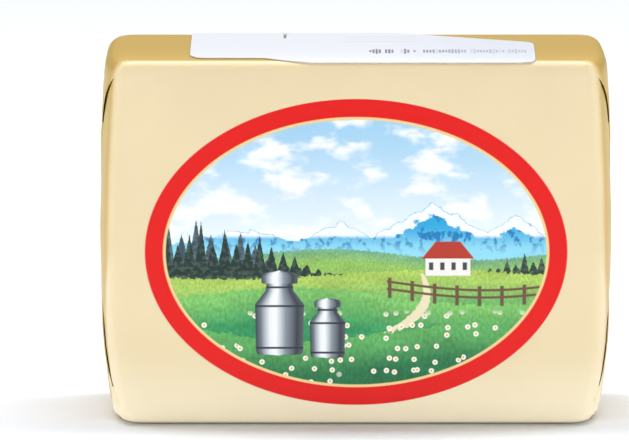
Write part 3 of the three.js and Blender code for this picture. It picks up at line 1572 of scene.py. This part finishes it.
@dataclass
class SideLabel:
    """The paper label on the narrow side that faces up."""

    top: float
    left: float = -32.5
    right: float = 35
    back: float = 15.2
    right_back: float = 0.5
    bend: float = 5
    front_left: float = -16.3
    front_right: float = -19.8
    step_start: float = -18
    step_end: float = -9
    spare: float = 1.5
    corner: float = 2.6
    corner_facets: int = 5
    crisp: float = 40
    slit_x: float = -14
    slit_width: float = 0.3
    slit_length: float = 7
    drop: float = 1
    gap: float = 0.12
    thickness: float = 0.2

    def build(self, block: bpy.types.Object) -> Workpiece:
        """Models the label and lays it on the block.

        Args:
            block: what it is stuck on.

        Returns:
            The workpiece, ready to be finished.
        """
        above = self.top + self.drop
        low = (self.left, self.front_right - self.spare, above)
        piece = Workpiece.plane("label", low, (self.right, self.back, above))
        piece.edit(True)
        piece.rule(0, [self.step_start, self.step_end, self.bend])
        outline = ((self.left, self.front_left), (self.step_start, self.front_left),
                   (self.step_end, self.front_right), (self.right, self.front_right),
                   (self.right, self.right_back), (self.bend, self.back))
        for first, second in zip(outline, outline[1:]):
            self._trim(piece, first, second)
        piece.select(Part.VERTS, lambda vert: len(vert.link_edges) == 2)
        bpy.ops.mesh.bevel(offset=self.corner * MM, segments=self.corner_facets, affect="VERTICES")
        for axis, start, end in ((0, self.left, self.right), (1, self.front_right, self.back)):
            count = round(end - start)
            piece.rule(axis, [start + (end - start) * i / count for i in range(1, count)])
        for x in (self.slit_x - self.slit_width / 2, self.slit_x + self.slit_width / 2):
            piece.rule(0, [x])
        piece.select(Part.FACES, lambda face: self._in_slit(face.calc_center_median() / MM))
        bpy.ops.mesh.delete(type="FACE")
        piece.edit(False)
        piece.modify("SHRINKWRAP", target=block, wrap_method="NEAREST_SURFACEPOINT",
                     wrap_mode="ABOVE_SURFACE", offset=self.gap * MM)
        piece.modify("SOLIDIFY", thickness=self.thickness * MM, offset=1)
        return piece

    @staticmethod
    def _trim(piece: Workpiece, first: Span, second: Span) -> None:
        """Cuts the part of the sheet between two points along the line through them.

        Args:
            piece: the sheet.
            first: x and y of the line's start; what lies on its right hand is dropped.
            second: x and y of the line's end.
        """
        start = metres((*first, 0))
        along = (metres((*second, 0)) - start).normalized()
        outward = Vector((along.y, -along.x, 0))
        low, high = sorted((first[0] * MM, second[0] * MM))
        piece.cut(start, outward, lambda face: low < face.calc_center_median().x < high)
        piece.select(Part.FACES, lambda face: (
            low < face.calc_center_median().x < high and (face.calc_center_median() - start).dot(outward) > 0))
        bpy.ops.mesh.delete(type="FACE")

    def _in_slit(self, place: Vector) -> bool:
        """Whether a place is in the slit."""
        return abs(place.x - self.slit_x) < self.slit_width / 2 and place.y > self.back - self.slit_length

    def dress(self, piece: Workpiece) -> bpy.types.Object:
        """Gives the label its finish and joins it to the frame.

        Args:
            piece: the modelled label.

        Returns:
            The finished object.
        """
        obj = piece.finish(self.crisp)
        obj.data.materials.clear()
        obj.data.materials.append(LabelPaper().make(self.slit_x))
        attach(obj, "root")
        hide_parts("side_label")
        return obj


@dataclass(frozen=True)
class Softbox:
    """A large rectangular light with its place, aim and size in millimetres."""

    name: str
    place: Point
    aim: Point
    wide: float
    high: float
    power: float

    def hang(self) -> None:
        """Puts the light in the scene."""
        lamp = bpy.data.lights.new(self.name, "AREA")
        lamp.shape = "RECTANGLE"
        lamp.size = self.wide * MM
        lamp.size_y = self.high * MM
        lamp.energy = self.power
        holder = bpy.data.objects.new(self.name, lamp)
        bpy.context.scene.collection.objects.link(holder)
        holder.location = metres(self.place)
        holder.rotation_euler = (metres(self.aim) - metres(self.place)).to_track_quat("-Z", "Y").to_euler()


@dataclass
class Studio:
    """The floor, the light and the camera."""

    distance: float = 1500
    elevation: float = 9.45
    pixels_per_mm: float = 5.045
    aim: Point = (-8.15, 0, 37.8)
    sensor: float = 36
    floor_size: float = 6000
    floor_drop: float = 0.2
    floor_paint: Colour = paint(244, 248, 255)
    floor_rough: float = 0.6
    ambient: float = 0.1
    ambient_paint: Colour = paint(255, 255, 255)
    lights: tuple[Softbox, ...] = (
        Softbox("key", (0, 215, 1400), (0, 0, 0), 2000, 360, 28),
        Softbox("back", (0, 1700, 1000), (0, 1000, 0), 2400, 800, 2.5),
        Softbox("front_left", (-1050, -1100, 190), (0, 0, 35), 700, 600, 8.1),
        Softbox("front_right", (1050, -1100, 190), (0, 0, 35), 700, 600, 8.1),
        Softbox("left", (-1000, -100, 300), (0, 0, 40), 500, 700, 1.9),
        Softbox("right", (1000, -100, 300), (0, 0, 40), 500, 700, 1.9),
    )

    def build(self) -> None:
        """Sets up the floor, the light and the camera."""
        self._floor()
        for light in self.lights:
            light.hang()
        world = bpy.data.worlds.new("room")
        world.use_nodes = True
        glow = world.node_tree.nodes["Background"].inputs
        glow["Strength"].default_value = self.ambient
        glow["Color"].default_value = self.ambient_paint
        bpy.context.scene.world = world
        bpy.context.scene.view_settings.view_transform = "Standard"
        self._camera()

    def _floor(self) -> None:
        """Lays the pale floor."""
        half = self.floor_size / 2
        floor = Workpiece.plane("floor", (-half, -half, -self.floor_drop), (half, half, -self.floor_drop)).obj
        finish = Bench("floor").surface(Base_Color=self.floor_paint, Roughness=self.floor_rough)
        floor.data.materials.append(finish)

    def _camera(self) -> None:
        """Puts the camera where the photograph was taken from."""
        lens = bpy.data.cameras.new("camera")
        lens.sensor_width = self.sensor
        lens.lens = self.sensor * self.pixels_per_mm * self.distance / PHOTO_WIDTH
        camera = bpy.data.objects.new("camera", lens)
        bpy.context.scene.collection.objects.link(camera)
        tilt = math.radians(self.elevation)
        away = Vector((0, -math.cos(tilt), math.sin(tilt)))
        camera.location = metres(self.aim) + away * self.distance * MM
        camera.rotation_euler = (-away).to_track_quat("-Z", "Y").to_euler()
        bpy.context.scene.camera = camera


def report(obj: bpy.types.Object) -> None:
    """Logs a finished piece."""
    LOG.info("%s: %d faces", obj.name, len(obj.data.polygons))


def main() -> None:
    """Builds the pieces in order, then the studio."""
    logging.basicConfig(level=logging.INFO)
    low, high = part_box("wrapped_block")
    width, depth, height = (high - low) / MM
    block = WrappedBlock(width, depth, height)
    wrapper = block.dress(block.build())
    report(wrapper)
    label = SideLabel(height)
    sticker = label.dress(label.build(wrapper))
    report(sticker)
    Studio().build()


if __name__ == "__main__":
    main()
